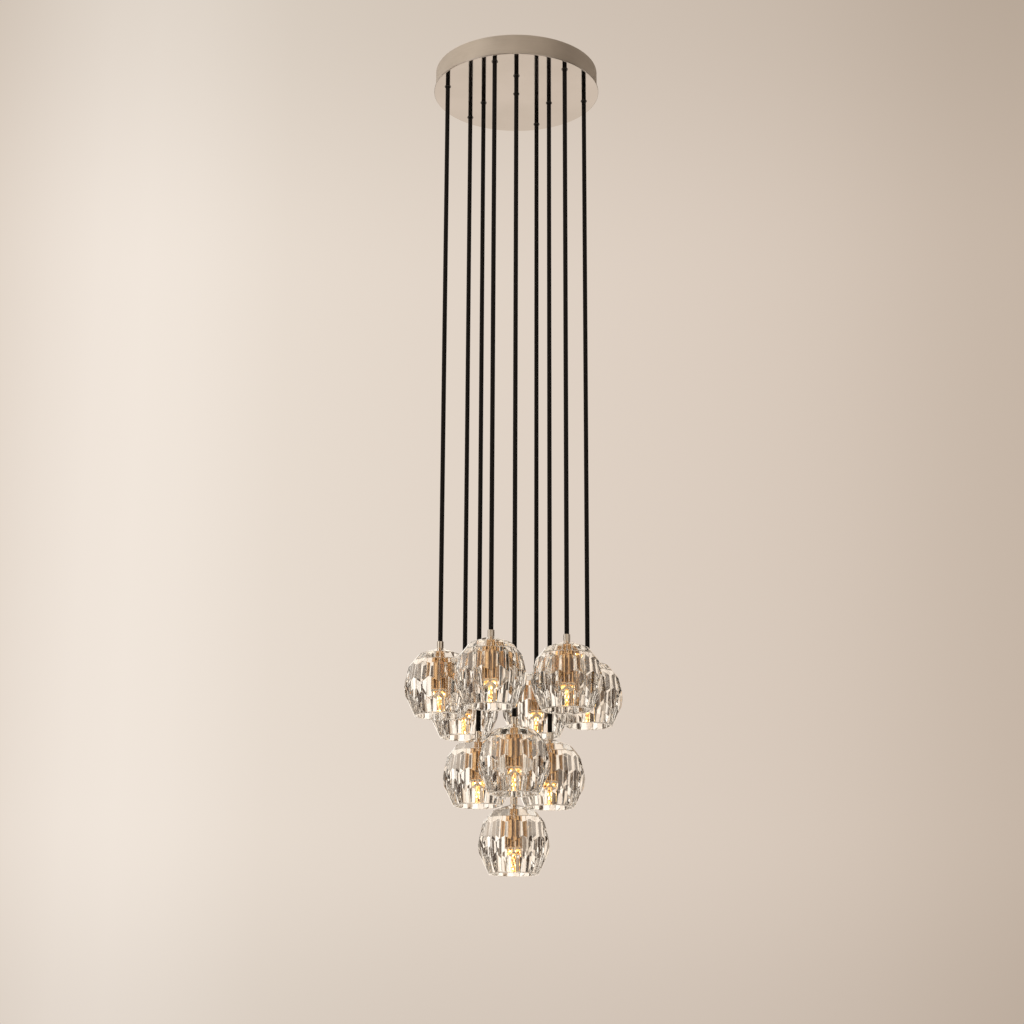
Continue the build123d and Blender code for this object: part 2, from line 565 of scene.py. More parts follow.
def edges_in(made: Iterable[object]) -> list[Edge]:
    """The edges among what an operator made."""
    return [part for part in made if isinstance(part, Edge)]


def raised(shell: Shell, ring: Sequence[Edge], rise: float) -> tuple[list[Edge], list[Corner]]:
    """Extrude a ring of edges upwards.

    Args:
        shell: the shell that they are in.
        ring: the edges.
        rise: how far, in metres.

    Returns:
        The new ring's edges and corners.
    """
    made = bmesh.ops.extrude_edge_only(shell, edges=ring)["geom"]
    corners = [part for part in made if isinstance(part, Corner)]
    bmesh.ops.translate(shell, vec=(0, 0, rise), verts=corners)
    return edges_in(made), corners


def sharp_edges(shell: Shell, least: float = 25.0) -> list[Edge]:
    """The edges whose faces meet at more than so many degrees."""
    return [e for e in shell.edges if e.is_manifold and e.calc_face_angle(0.0) > radians(least)]


def eased(shell: Shell, edges: Iterable[Edge], width: float, segments: int = 2) -> None:
    """Bevel edges.

    Args:
        shell: the shell that they are in.
        edges: the edges.
        width: the bevel's width in metres.
        segments: how many facets round each.
    """
    bmesh.ops.bevel(
        shell, geom=list(edges), offset=width, offset_type="OFFSET", affect="EDGES",
        segments=segments, profile=0.5, material=-1, clamp_overlap=True,
    )


def block(size: Point, middle: Point, ease: float = 0.0) -> Shell:
    """Make a box.

    Args:
        size: its sizes.
        middle: where its middle is.
        ease: the width of its eased edges, or nought for sharp ones.

    Returns:
        The box.
    """
    shell = bmesh.new()
    bmesh.ops.create_cube(shell, size=1.0)
    bmesh.ops.scale(shell, vec=size, verts=shell.verts[:])
    if ease:
        eased(shell, shell.edges[:], ease)
    return moved(shell, Matrix.Translation(middle))


def joined(parts: Iterable[Shell]) -> Shell:
    """Put several shells in one, and free them.

    Args:
        parts: the shells.

    Returns:
        The one shell.
    """
    whole = bmesh.new()
    for part in parts:
        kept = bpy.data.meshes.new("part")
        part.to_mesh(kept)
        part.free()
        whole.from_mesh(kept)
        bpy.data.meshes.remove(kept)
    return whole


def moved(shell: Shell, matrix: Matrix) -> Shell:
    """Put the shell somewhere else and return it."""
    bmesh.ops.transform(shell, matrix=matrix, verts=shell.verts[:])
    return shell


def applied(mesh: Mesh, kind: str, **settings: object) -> Mesh:
    """What a modifier makes of a mesh, which isn't changed itself.

    Args:
        mesh: the mesh.
        kind: the modifier's type.
        settings: the modifier's settings.

    Returns:
        The new mesh.
    """
    carrier = linked("carrier", mesh)
    step = carrier.modifiers.new("step", kind)
    for name, value in settings.items():
        setattr(step, name, value)
    bpy.context.view_layer.update()
    graph = bpy.context.evaluated_depsgraph_get()
    made = bpy.data.meshes.new_from_object(
        carrier.evaluated_get(graph), preserve_all_data_layers=True, depsgraph=graph
    )
    bpy.data.objects.remove(carrier)
    return made


def shaded(shell: Shell, name: str, shading: Shading = Shading.CRISP) -> Mesh:
    """Make a mesh of a shell and shade it, so that an eased edge doesn't bend the faces beside it.

    Args:
        shell: the shell, which is freed.
        name: the mesh's name.
        shading: how sharp its creases stay.

    Returns:
        The mesh.
    """
    mesh = bpy.data.meshes.new(name)
    shell.to_mesh(mesh)
    shell.free()
    if shading is Shading.FLAT:
        mesh.polygons.foreach_set("use_smooth", [False] * len(mesh.polygons))
        return mesh
    mesh.polygons.foreach_set("use_smooth", [True] * len(mesh.polygons))
    mesh.set_sharp_from_angle(angle=radians(shading.value))
    finished = applied(mesh, "WEIGHTED_NORMAL", mode="FACE_AREA", weight=80, keep_sharp=True)
    bpy.data.meshes.remove(mesh)
    finished.name = name
    return finished


def placed(
    mesh: Mesh,
    name: str,
    body: str,
    material: Material,
    stands_for: Sequence[str] = (),
) -> bpy.types.Object:
    """Put a finished mesh in the scene.

    Args:
        mesh: the mesh, already where it belongs.
        name: the piece's name.
        body: the body it rides on.
        material: its finish.
        stands_for: the solids that it replaces.

    Returns:
        The piece.
    """
    piece = linked(name, mesh)
    if not mesh.materials:
        mesh.materials.append(material)
    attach(piece, body)
    if stands_for:
        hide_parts(*stands_for)
    log.info("%s: %d faces, rides on %s", name, len(mesh.polygons), body)
    return piece


def cut(mesh: Mesh, cutter: Mesh) -> Mesh:
    """Cut one closed mesh out of another.

    Args:
        mesh: the mesh to cut.
        cutter: what is taken away.

    Returns:
        What is left.
    """
    tool = linked("tool", cutter)
    left = applied(mesh, "BOOLEAN", operation="DIFFERENCE", solver="EXACT", object=tool)
    bpy.data.objects.remove(tool)
    return left


def middle_of(node: str) -> Vector:
    """The middle of a CAD node's box."""
    low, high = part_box(node)
    return (Vector(low) + Vector(high)) / 2


# ---- Camera, light and floor ----


@dataclass(frozen=True)
class SoftLamp:
    """A soft lamp, with its width and height in metres and its power in watts."""

    name: str
    place: Point
    size: Pair
    power: float
    colour: Point

    def hang(self, aim: Point) -> None:
        """Hang the lamp, where only what it lights shows it.

        Args:
            aim: the point that it faces.
        """
        data = bpy.data.lights.new(self.name, "AREA")
        data.shape = "RECTANGLE"
        data.size, data.size_y = self.size
        data.energy = self.power
        data.color = self.colour
        lamp = linked(self.name, data)
        facing = (Vector(aim) - Vector(self.place)).to_track_quat("-Z", "Y")
        lamp.matrix_world = Matrix.Translation(self.place) @ facing.to_matrix().to_4x4()
        lamp.visible_camera = False
        lamp.visible_glossy = False
        lamp.visible_transmission = False


@dataclass(frozen=True)
class Studio:
    """The photograph's camera, soft lamps, a backdrop, the room that the glass bends, and a floor.

    The ramps run round the room: 0 and 1 lie behind the camera, 0.25 to its left, 0.5 ahead and
    0.75 to its right. The shade runs from the horizon up.
    """

    camera_place: Point = (-0.0051, -3.357, -1.7837)
    camera_pitch: float = 0.27121
    camera_roll: float = 0.00376
    lens: float = 69.68
    sensor: float = 36.0
    clip: Pair = (0.01, 200.0)
    bounces: int = 14
    aim: Point = (0.0, 0.0, -0.9)
    lamps: tuple[SoftLamp, ...] = (
        SoftLamp("window", (-2.9, -1.7, -0.5), (1.4, 2.2), 118.0, (1.0, 0.97, 0.92)),
        SoftLamp("fill", (2.6, -2.3, -0.2), (1.0, 1.6), 2.5, (1.0, 0.95, 0.88)),
        SoftLamp("back", (1.4, 2.4, 0.4), (1.2, 1.2), 6.0, (1.0, 0.97, 0.93)),
    )
    floor_depth: float = 2.6
    floor_reach: float = 14.0
    floor_tones: Stops = tones((0.3, 233, 222, 210), (0.7, 235, 224, 213))
    room_strength: float = 1.36
    soft_strength: float = 0.62
    soft_tone: Colour = rgb(242, 232, 222)
    low_band: Pair = (-0.08, -0.3)
    backdrop: Stops = tones(
        (0.0, 212, 197, 182), (0.452, 212, 197, 182), (0.466, 250, 240, 230),
        (0.48, 230, 218, 205), (0.504, 224, 210, 197), (0.526, 216, 201, 187),
        (0.545, 188, 171, 155), (1.0, 212, 197, 182),
    )
    shade: Stops = tones(
        (0.0, 240, 239, 238), (0.12, 254, 254, 254), (0.37, 255, 255, 255),
        (0.52, 236, 235, 233), (1.0, 234, 232, 230),
    )
    surroundings: Stops = tones(
        (0.0, 248, 236, 218), (0.03, 226, 206, 182), (0.05, 62, 45, 31),
        (0.1, 50, 35, 24), (0.13, 72, 55, 41), (0.15, 255, 247, 235),
        (0.24, 246, 234, 220), (0.26, 67, 50, 36), (0.3, 50, 35, 26),
        (0.34, 60, 44, 31), (0.355, 250, 240, 228), (0.392, 255, 248, 237),
        (0.405, 60, 44, 32), (0.446, 50, 35, 24), (0.456, 206, 184, 160),
        (0.466, 255, 248, 237), (0.484, 255, 247, 235), (0.5, 238, 224, 208),
        (0.515, 224, 208, 192), (0.524, 172, 148, 124), (0.532, 46, 32, 22),
        (0.563, 40, 27, 18), (0.576, 232, 216, 197), (0.59, 224, 206, 186),
        (0.6, 54, 38, 26), (0.62, 54, 38, 26),
    )
    side_room: Stops = tones(
        (0.62, 54, 38, 26), (0.665, 40, 27, 18), (0.682, 250, 238, 222),
        (0.704, 222, 204, 184), (0.72, 58, 42, 29), (0.855, 52, 36, 25),
        (0.88, 246, 233, 216), (0.92, 236, 220, 200), (0.94, 62, 45, 31),
        (0.98, 67, 49, 35), (1.0, 248, 236, 218),
    )
    low_room: Stops = tones(
        (0.0, 250, 236, 214), (0.03, 240, 222, 196), (0.05, 66, 46, 31),
        (0.1, 55, 37, 24), (0.12, 250, 238, 222), (0.16, 246, 232, 214),
        (0.19, 59, 41, 27), (0.24, 212, 190, 162), (0.3, 176, 148, 118),
        (0.36, 236, 223, 208), (0.5, 234, 221, 206), (0.64, 226, 211, 195),
        (0.7, 62, 44, 29), (0.76, 242, 228, 208), (0.8, 54, 37, 24),
        (0.87, 58, 39, 26), (0.9, 246, 232, 212), (0.94, 238, 222, 198),
        (0.96, 62, 44, 29), (0.98, 72, 53, 37), (1.0, 250, 236, 214),
    )

    def set_camera(self) -> None:
        """Set the photograph's camera, and how often light may bend."""
        data = bpy.data.cameras.new("camera")
        data.lens = self.lens
        data.sensor_width = self.sensor
        data.clip_start, data.clip_end = self.clip
        camera = linked("camera", data)
        camera.matrix_world = (
            Matrix.Translation(self.camera_place)
            @ Matrix.Rotation(pi / 2 + self.camera_pitch, 4, "X")
            @ Matrix.Rotation(self.camera_roll, 4, "Z")
        )
        scene = bpy.context.scene
        scene.camera = camera
        scene.view_settings.view_transform = "Standard"
        scene.cycles.max_bounces = self.bounces
        scene.cycles.transmission_bounces = self.bounces
        scene.cycles.glossy_bounces = self.bounces

    def light(self) -> None:
        """Hang the lamps and set the world: the backdrop for the camera, the room for the glass."""
        for lamp in self.lamps:
            lamp.hang(self.aim)
        world = bpy.data.worlds.new("room")
        world.use_nodes = True
        bpy.context.scene.world = world
        recipe = Recipe(world.node_tree)
        way = recipe.add("SeparateXYZ", Vector=recipe.add("TexCoord").outputs["Generated"])
        turn = recipe.sum("ARCTAN2", way.outputs["X"], way.outputs["Y"])
        share = recipe.out("MapRange", Value=turn, From_Min=-pi, From_Max=pi)
        wall = recipe.out(
            "MixRGB", blend_type="MULTIPLY", Fac=1.0,
            Color1=recipe.ramp(share, self.backdrop, "B_SPLINE"),
            Color2=recipe.ramp(way.outputs["Z"], self.shade, "EASE"),
        )
        behind = recipe.out("Background", Color=wall, Strength=1.0)
        start, end = self.low_band
        low = recipe.out("MapRange", Value=way.outputs["Z"], From_Min=start, From_Max=end)
        level = recipe.out(
            "MixRGB",
            Fac=recipe.sum("GREATER_THAN", share, self.side_room[0][0]),
            Color1=recipe.ramp(share, self.surroundings),
            Color2=recipe.ramp(share, self.side_room),
        )
        tone = recipe.out("MixRGB", Fac=low, Color1=level, Color2=recipe.ramp(share, self.low_room))
        room = recipe.out("Background", Color=tone, Strength=self.room_strength)
        soft = recipe.out("Background", Color=self.soft_tone, Strength=self.soft_strength)
        seen = recipe.out("MixShader", _0=recipe.bent_rays(), _1=soft, _2=room)
        straight = recipe.add("LightPath").outputs["Is Camera Ray"]
        whole = recipe.out("MixShader", _0=straight, _1=seen, _2=behind)
        recipe.add("OutputWorld", Surface=whole)

    def lay_floor(self) -> None:
        """Lay a pale floor well below the lamp, which the glass looks through."""
        shell = bmesh.new()
        bmesh.ops.create_grid(shell, x_segments=1, y_segments=1, size=self.floor_reach)
        moved(shell, Matrix.Translation((0, 0, -self.floor_depth)))
        floor = linked("floor", shaded(shell, "floor", Shading.FLAT))
        recipe = Recipe.material("pale plaster")
        tone = recipe.ramp(recipe.noise(3, 4), self.floor_tones)
        plaster = recipe.out("BsdfPrincipled", Base_Color=tone, Roughness=0.9)
        clear = recipe.out("BsdfTransparent")
        both = recipe.out("MixShader", _0=recipe.bent_rays(), _1=plaster, _2=clear)
        floor.data.materials.append(recipe.finish(both))


# ---- Cords ----


@dataclass(frozen=True)
class Cord:
    """One straight hanging cloth cord, from its gland into its grip."""

    number: int
    route: tuple[Point, ...]
    swings: bool
    diameter: float = 0.008

    @property
    def tag(self) -> str:
        """Its two-figure number."""
        return f"{self.number:02d}"

    def hang(self, finishes: Finishes) -> None:
        """Args:
            finishes: the materials to choose from.
        """
        curve = bpy.data.curves.new(f"braided_cord_{self.tag}", "CURVE")
        curve.dimensions = "3D"
        curve.bevel_depth = self.diameter / 2
        curve.bevel_resolution = 6
        curve.resolution_u = 12
        curve.use_fill_caps = True
        spline = curve.splines.new("NURBS")
        spline.points.add(len(self.route) - 1)
        for point, place in zip(spline.points, self.route):
            point.co = (*place, 1.0)
        spline.order_u = 3
        spline.use_endpoint_u = True
        curve.materials.append(finishes.cloth)
        cord = linked(f"braided_cord_{self.tag}", curve)
        body = f"cord_{self.tag}" if self.swings else "root"
        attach(cord, body)
        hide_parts(f"cord_{self.tag}")


# ---- Canopy ----


@dataclass(frozen=True)
class Canopy:
    """The drum, its mirror face, the glands, and the fixings inside it."""

    around: int = 256
    wall_thickness: float = 0.0012
    wall_ease: float = 0.0004
    face_chamfer: float = 0.0006
    face_land: float = 0.001
    face_ease: float = 0.0002
    gland_lip: float = 0.0057
    gland_bore: float = 0.0048
    gland_depth: float = 0.003
    gland_ease: float = 0.0003
    gland_around: int = 36
    nut_reach: float = 0.007
    nut_ease: float = 0.0005
    metal_ease: float = 0.0002
    block_ease: float = 0.0005

    def put(self, shell: Shell, name: str, slot: Slot, material: Material, node: str) -> None:
        """Put a shell on the root body, in place of a solid."""
        placed(shaded(shell, name), name, "root", material, [node])

    def build_wall(self, finishes: Finishes) -> None:
        """Roll the drum's wall, with both rims eased.

        Args:
            finishes: the materials to choose from.
        """
        low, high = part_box("canopy_wall")
        outer = high[0]
        inner = outer - self.wall_thickness
        shell = turned(
            [(outer, low[2]), (outer, high[2]), (inner, high[2]), (inner, low[2]), (outer, low[2])],
            self.around,
        )
        eased(shell, sharp_edges(shell), self.wall_ease)
        self.put(shell, "drum_wall", Slot.WALL, finishes.wall, "canopy_wall")

    def build_face(self, finishes: Finishes) -> None:
        """Turn the mirror face plate, with an eased rim. The glands fill its holes.

        Args:
            finishes: the materials to choose from.
        """
        low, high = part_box("face_plate")
        edge, below, above = high[0], low[2], high[2]
        profile = [
            (0.0, below), (edge - 2 * self.face_chamfer, below),
            (edge - self.face_chamfer, below), (edge, below + self.face_chamfer),
            (edge, above), (edge - self.face_land, above), (0.0, above),
        ]
        shell = turned(profile, self.around)
        eased(shell, sharp_edges(shell), self.face_ease)
        self.put(shell, "mirror_face", Slot.POLISHED, finishes.mirror, "face_plate")

    def build_glands(self, places: Sequence[Pair], finishes: Finishes) -> None:
        """Make a gland for each cord: a rounded black lip below the plate and a nut above it.

        Args:
            places: where the cords leave the plate.
            finishes: the materials to choose from.
        """
        low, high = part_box("cord_glands")
        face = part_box("face_plate")
        bottom, plate_top, top = low[2], face[1][2], high[2]
        floor = bottom + self.gland_depth
        glands = []
        for x, y in places:
            profile = [
                (self.gland_bore, floor), (self.gland_bore, bottom), (self.gland_lip, bottom),
                (self.gland_lip, plate_top), (0.0, plate_top), (0.0, floor),
                (self.gland_bore, floor),
            ]
            barrel = turned(profile, self.gland_around)
            lip = [e for e in sharp_edges(barrel) if e.verts[0].co.z < bottom + NEAR]
            eased(barrel, lip, self.gland_ease, 3)
            nut = bmesh.new()
            reach = self.nut_reach / cos(pi / 6)
            bmesh.ops.create_cone(
                nut, cap_ends=True, segments=6, radius1=reach, radius2=reach, depth=top - plate_top
            )
            eased(nut, nut.edges[:], self.nut_ease)
            moved(nut, Matrix.Translation((0, 0, (top + plate_top) / 2)))
            glands.append(moved(joined([barrel, nut]), Matrix.Translation((x, y, 0))))
        self.put(joined(glands), "gland_set", Slot.NYLON, finishes.nylon, "cord_glands")

    def build_fixings(self, finishes: Finishes) -> None:
        """Ease the edges of the bar, the side screws and the terminal block inside the drum.

        Args:
            finishes: the materials to choose from.
        """
        steel, white = (Slot.STEEL, finishes.steel), (Slot.MOULDING, finishes.moulding)
        for node, name, finish, ease in (
            ("ceiling_bar", "slotted_bar", steel, self.metal_ease),
            ("side_screws", "wall_screws", steel, self.metal_ease),
            ("terminal_block", "three_pole_block", white, self.block_ease),
        ):
            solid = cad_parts[node]
            shell = bmesh.new()
            shell.from_mesh(solid.data)
            welded(moved(shell, solid.matrix_world))
            bmesh.ops.dissolve_limit(
                shell, angle_limit=radians(1.0), verts=shell.verts[:], edges=shell.edges[:],
                use_dissolve_boundaries=False, delimit=set(),
            )
            eased(outward(shell), sharp_edges(shell, 50.0), ease)
            self.put(shell, name, *finish, node)


# ---- Pendants ----


@dataclass(frozen=True)
class CrystalGlobe:
    """The cut globe: five interlocking rows of flat facets round a fluted bore.

    Each row runs between two of the radii and depths in `rows`. All sizes are in metres, and the
    ridge is a share of a flute's width.
    """

    rows: tuple[Pair, ...] = (
        (0.009, 0.0), (0.036, 0.0105), (0.052, 0.031), (0.0592, 0.062), (0.055, 0.088),
        (0.0415, 0.116),
    )
    facets: int = 12
    blank: float = 0.18
    edge_ease: float = 0.0006
    rim_ease: float = 0.0015
    bore: float = 0.0362
    flute_depth: float = 0.0003
    flutes: int = 24
    ridge: float = 0.1
    flare: float = 0.0004
    mouth: float = 0.004
    shoulder: float = 0.0024
    shoulder_steps: int = 4
    crown: float = 0.024
    stem_hole: float = 0.0052
    stem_past: Pair = (0.002, 0.003)

    @property
    def depth(self) -> float:
        """How deep the globe hangs from its top face."""
        return self.rows[-1][1]

    def block_out(self) -> Shell:
        """Grind the facets on a blank, one plane at a time.

        Returns:
            The solid crystal.
        """
        shell = block((self.blank, self.blank, self.depth), (0.0, 0.0, -self.depth / 2))
        for row, (upper, lower) in enumerate(zip(self.rows, self.rows[1:])):
            run, fall = lower[0] - upper[0], lower[1] - upper[1]
            for facet in range(self.facets):
                turn = (2 * facet + row % 2) * pi / self.facets
                along = (cos(turn), sin(turn))
                cutting = bmesh.ops.bisect_plane(
                    shell, geom=[*shell.verts, *shell.edges, *shell.faces], dist=WELD / 10,
                    plane_co=(upper[0] * along[0], upper[0] * along[1], -upper[1]),
                    plane_no=(fall * along[0], fall * along[1], run), clear_outer=True,
                )["geom_cut"]
                bmesh.ops.edgeloop_fill(shell, edges=edges_in(cutting))
        welded(shell, 2 * WELD)
        bmesh.ops.dissolve_degenerate(shell, dist=2 * WELD, edges=shell.edges[:])
        return outward(shell)

    def ease_edges(self, shell: Shell) -> None:
        """Round the foot's rim fully and every facet's edge a little.

        Args:
            shell: the solid crystal.
        """
        foot = [e for e in shell.edges if all(abs(v.co.z + self.depth) < WELD for v in e.verts)]
        eased(shell, foot, self.rim_ease, 4)
        facets = [
            e for e in sharp_edges(shell, 4.0)
            if max(v.co.z for v in e.verts) > self.rim_ease - self.depth
        ]
        eased(shell, facets, self.edge_ease)

    def press_flutes(self, corners: Sequence[Corner]) -> None:
        """Draw one ring of corners into the bore's section: wide flats between narrow ridges.

        Args:
            corners: the ring's corners.
        """
        shares = (0.0, self.ridge / 2, 1 - self.ridge / 2)
        for index, corner in enumerate(sorted(corners, key=lambda c: atan2(c.co.y, c.co.x))):
            flute, place = divmod(index, len(shares))
            turn = (flute + shares[place]) * 2 * pi / self.flutes - pi
            reach = self.bore + (self.flute_depth if place else 0.0)
            corner.co.xy = (reach * cos(turn), reach * sin(turn))

    def flute_core(self) -> Mesh:
        """Make the core that leaves the bore: flared at the mouth and drawn in at the crown.

        Returns:
            The fluted core.
        """
        shell = bmesh.new()
        bmesh.ops.create_circle(
            shell, cap_ends=False, radius=self.bore + self.flute_depth + self.flare,
            segments=3 * self.flutes,
        )
        moved(shell, Matrix.Translation((0, 0, -self.depth - self.mouth)))
        ring, _ = raised(shell, shell.edges[:], self.mouth)
        ring, corners = raised(shell, ring, self.mouth)
        self.press_flutes(corners)
        width, height = 1.0, self.mouth - self.depth
        for step in range(self.shoulder_steps + 1):
            turn = step * pi / 2 / self.shoulder_steps
            narrow = 1 - self.shoulder * (1 - cos(turn)) / self.bore
            rise = -self.crown - self.shoulder * (1 - sin(turn))
            ring, corners = raised(shell, ring, rise - height)
            bmesh.ops.scale(shell, vec=(narrow / width, narrow / width, 1.0), verts=corners)
            width, height = narrow, rise
        bmesh.ops.holes_fill(shell, edges=[e for e in shell.edges if e.is_boundary], sides=0)
        return shaded(outward(shell), "core", Shading.FLAT)

    def stem_core(self) -> Mesh:
        """Make the core that leaves the stem's hole through the crown.

        Returns:
            The core.
        """
        above, below = self.stem_past[0], -self.crown - self.stem_past[1]
        profile = [(0.0, above), (self.stem_hole, above), (self.stem_hole, below), (0.0, below)]
        return shaded(turned(profile, 48), "stem core", Shading.FLAT)

    def make(self) -> Mesh:
        """Cut the globe's holes and finish it.

        Returns:
            The globe, with its top face at the origin.
        """
        shell = self.block_out()
        self.ease_edges(shell)
        mesh = cut(cut(shaded(shell, "blank", Shading.FLAT), self.flute_core()), self.stem_core())
        shell = bmesh.new()
        shell.from_mesh(mesh)
        return shaded(outward(welded(shell)), "crystal globe")


@dataclass(frozen=True)
class CordGrip:
    """The plated ferrule on top of the crystal."""

    radius: float = 0.006
    height: float = 0.013
    mouth: float = 0.0042
    mouth_depth: float = 0.004
    mouth_ease: float = 0.0005
    foot: float = 0.0016
    groove: float = 0.0004
    groove_ends: Pair = (0.0018, 0.0023)
    body: float = 0.0025
    body_step: float = 0.00015
    around: int = 64

    def make(self) -> Mesh:
        """Turn the ferrule: a foot ring, a groove and the cord's mouth.

        Returns:
            The ferrule, with its foot at the origin.
        """
        outer, top, floor = self.radius, self.height, self.height - self.mouth_depth
        waist, body = outer - self.groove, outer - self.body_step
        low, high = self.groove_ends
        profile = [
            (0.0, 0.0), (outer, 0.0), (outer, self.foot), (waist, low), (waist, high),
            (body, self.body), (body, top), (self.mouth, top), (self.mouth, floor),
            (0.0, floor),
        ]
        shell = turned(profile, self.around)
        rim = [e for e in sharp_edges(shell) if e.verts[0].co.z > top - self.mouth_ease]
        eased(shell, rim, self.mouth_ease, 3)
        return shaded(shell, "cord grip")


@dataclass(frozen=True)
class SocketCup:
    """The champagne cup under the crown, its neck, and the ceramic socket in its mouth."""

    neck: float = 0.0046
    crown: float = 0.024
    crown_gap: float = 0.0003
    radius: float = 0.0155
    length: float = 0.045
    shoulder_ease: float = 0.0012
    groove: float = 0.0004
    groove_ends: tuple[float, ...] = (0.004, 0.0043, 0.0051, 0.0054)
    recess: float = 0.0015
    rim: float = 0.0012
    rim_ease: float = 0.0003
    insert_back: float = 0.0002
    insert_front: float = 0.0004
    insert_gap: float = 0.0003
    insert_ease: float = 0.0002

    def make(self) -> Mesh:
        """Make the cup.

        Returns:
            The cup, with the globe's top face at the origin.
        """
        top, bottom = -self.crown - self.crown_gap, -self.crown - self.length
        outer, waist, inner = self.radius, self.radius - self.groove, self.radius - self.rim
        floor = bottom + self.recess
        first, second, third, last = (top - level for level in self.groove_ends)
        profile = [
            (0.0, 0.0), (self.neck, 0.0), (self.neck, top), (outer, top), (outer, first),
            (waist, second), (waist, third), (outer, last), (outer, bottom), (inner, bottom),
            (inner, floor), (0.0, floor),
        ]
        shell = turned(profile)
        shoulder = [
            e for e in sharp_edges(shell, 60.0)
            if abs(e.verts[0].co.z - top) < WELD and hypot(*e.verts[0].co.xy) > 2 * self.neck
        ]
        eased(shell, shoulder, self.shoulder_ease, 4)
        rim = [e for e in sharp_edges(shell, 60.0) if e.verts[0].co.z < bottom + WELD]
        eased(shell, rim, self.rim_ease)
        return shaded(shell, "socket cup")

    def make_insert(self) -> Mesh:
        """Make the ceramic insert that closes the cup's mouth round the lamp's base.

        Returns:
            The insert.
        """
        bottom = -self.crown - self.length
        back, front = bottom + self.recess + self.insert_back, bottom + self.insert_front
        outer = self.radius - self.rim - self.insert_gap
        shell = turned([(0.0, back), (0.0, front), (outer, front), (outer, back), (0.0, back)], 72)
        eased(shell, sharp_edges(shell, 60.0), self.insert_ease)
        return shaded(shell, "ceramic insert")


@dataclass(frozen=True)
class Lamp:
    """The push-in lamp: ceramic base, lit column with chips, and a clear faceted cover."""

    foot: float = -0.071
    base: Point = (0.016, 0.009, 0.014)
    base_ease: float = 0.0008
    pin: Point = (0.0024, 0.0008, 0.007)
    pin_pitch: float = 0.009
    pin_ease: float = 0.0002
    radius: float = 0.0075
    wall: float = 0.0008
    length: float = 0.031
    nose: float = 0.008
    nose_radius: float = 0.004
    nose_ease: float = 0.0006
    draw_in: float = 0.86
    draw_depth: float = 0.004
    column: float = 0.0061
    column_tip: float = 0.001
    chip: Pair = (0.0012, 0.0034)
    chip_tall: Pair = (0.0028, 0.0022)
    edge_ease: float = 0.0003
    chip_sunk: float = 0.0004
    chip_margin: float = 0.004
    chip_rows: int = 4
    chips_around: int = 3
    chip_turn: float = 0.31

    def make_base(self) -> Mesh:
        """Make the ceramic base and its two blades.

        Returns:
            The base.
        """
        tall = self.base[2]
        parts = [block(self.base, (0, 0, self.foot + tall / 2), self.base_ease)]
        for side in (-0.5, 0.5):
            place = (side * self.pin_pitch, 0, self.foot + tall + self.pin[2] / 2)
            parts.append(block(self.pin, place, self.pin_ease))
        return shaded(joined(parts), "lamp base")

    def make_cover(self) -> Mesh:
        """Make the clear cover: a faceted tube that draws in to a rounded nose.

        Returns:
            The cover.
        """
        shoulder = self.foot - self.length
        tip = shoulder - self.nose
        waist, inner, floor = self.radius * self.draw_in, self.radius - self.wall, tip + self.wall
        profile = [
            (self.radius, self.foot), (self.radius, shoulder),
            (waist, shoulder - self.draw_depth), (self.nose_radius, tip + self.nose_ease),
            (self.nose_radius * 0.6, tip), (0.0, tip), (0.0, floor),
            (self.nose_radius * 0.5, floor),
            (self.nose_radius - self.wall / 2, floor + self.nose_ease),
            (waist - self.wall, shoulder - self.draw_depth + self.edge_ease),
            (inner, shoulder), (inner, self.foot), (self.radius, self.foot),
        ]
        shell = turned(profile, 24)
        return shaded(shell, "lamp cover")

    def make_column(self) -> Mesh:
        """Make the amber column inside the cover.

        Returns:
            The column.
        """
        end = self.foot - self.length
        profile = [
            (0.0, self.foot), (self.column, self.foot), (self.column, end),
            (0.0, end - self.column_tip),
        ]
        shell = turned(profile, 12)
        eased(shell, sharp_edges(shell, 40.0), self.edge_ease)
        return shaded(shell, "column", Shading.FLAT)

    def make_chips(self) -> Mesh:
        """Make the lit chips, in rows round the column, tall and short in turn.

        Returns:
            The chips.
        """
        pitch = (self.length - 2 * self.chip_margin) / (self.chip_rows - 1)
        short, more = self.chip_tall
        chips = []
        for row in range(self.chip_rows):
            height = self.foot - self.chip_margin - row * pitch
            for place in range(self.chips_around):
                turn = (place + row * self.chip_turn) * 2 * pi / self.chips_around
                size = (*self.chip, short + more * ((row + place) % 2))
                chip = block(size, (self.column - self.chip_sunk, 0, height), self.edge_ease)
                chips.append(moved(chip, Matrix.Rotation(turn, 4, "Z")))
        return shaded(joined(chips), "chips", Shading.FLAT)


